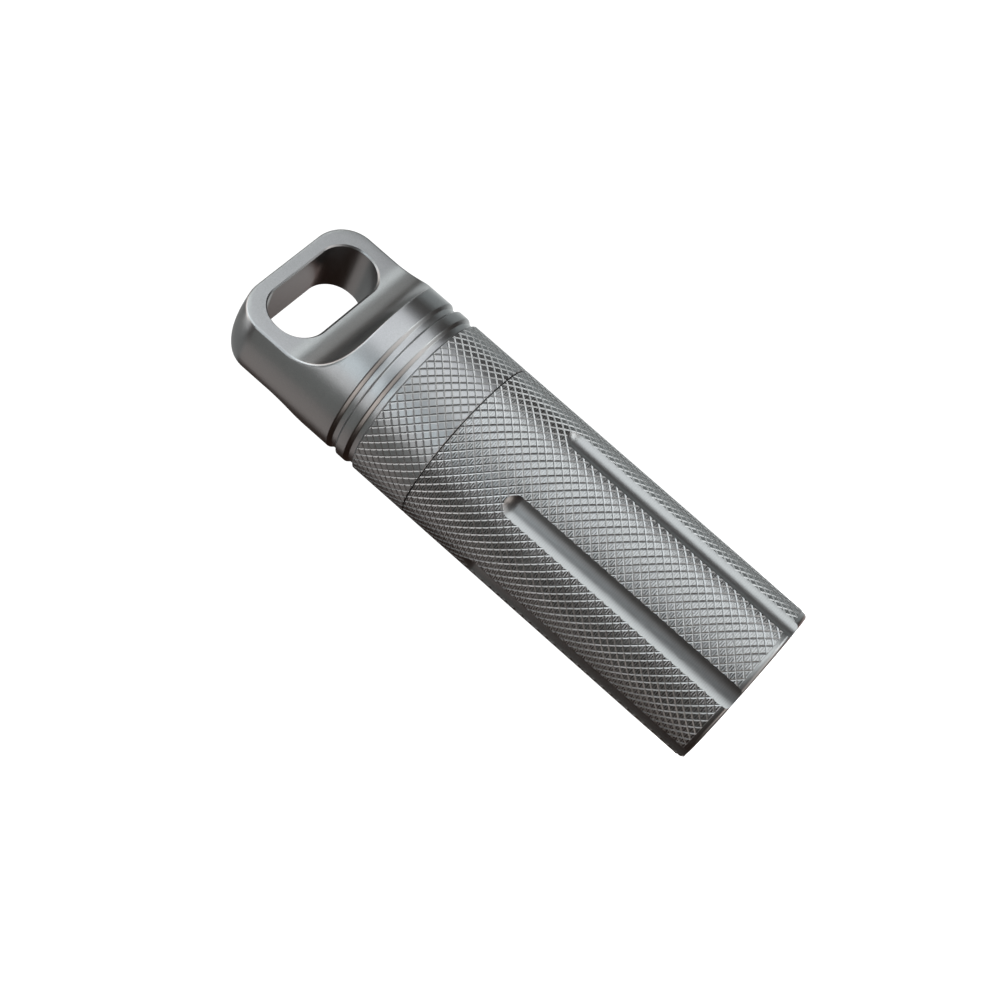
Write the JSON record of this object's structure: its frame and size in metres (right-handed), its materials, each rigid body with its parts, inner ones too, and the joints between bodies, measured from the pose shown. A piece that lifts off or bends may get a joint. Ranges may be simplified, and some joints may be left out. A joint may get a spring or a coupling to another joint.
{
  "type": "waterproof canister",
  "caption": "Slim knurled metal tube with milled grip flutes and an O-ring sealed screw cap whose flat bail has a slot for a key ring.",
  "frame": {"origin": "centre of the tube's flat base", "axes": "+Z along the canister's axis, from the base to the bail; the bail's slot runs through along Y, so its flats face -Y and +Y, and X runs along the bail's width"},
  "size_m": [0.025, 0.025, 0.0822],
  "materials": {
    "tube_anodised": "satin gunmetal anodised, knurled and fluted",
    "cap_anodised": "satin gunmetal anodised, turned and milled, knurled band",
    "seal_rubber": "black nitrile, lightly greased"
  },
  "bodies": {
    "tube": {"canister_tube": "tube_anodised"},
    "seal": {"o_ring": "seal_rubber"},
    "cap": {"screw_cap": "cap_anodised"}
  },
  "joints": [
    {"name": "cap_lift", "type": "slide", "parent": "tube", "child": "seal", "axis": [0, 0, 1], "range_m": [0, 0.0135]},
    {"name": "cap_turn", "type": "hinge", "parent": "seal", "child": "cap", "pos_m": [0, 0, 0.049], "axis": [0, 0, 1], "range_deg": [0, 3240]}
  ],
  "couplings": [
    {"joint": "cap_lift", "follows": "cap_turn", "m_per_rad": 0.00023873}
  ]
}
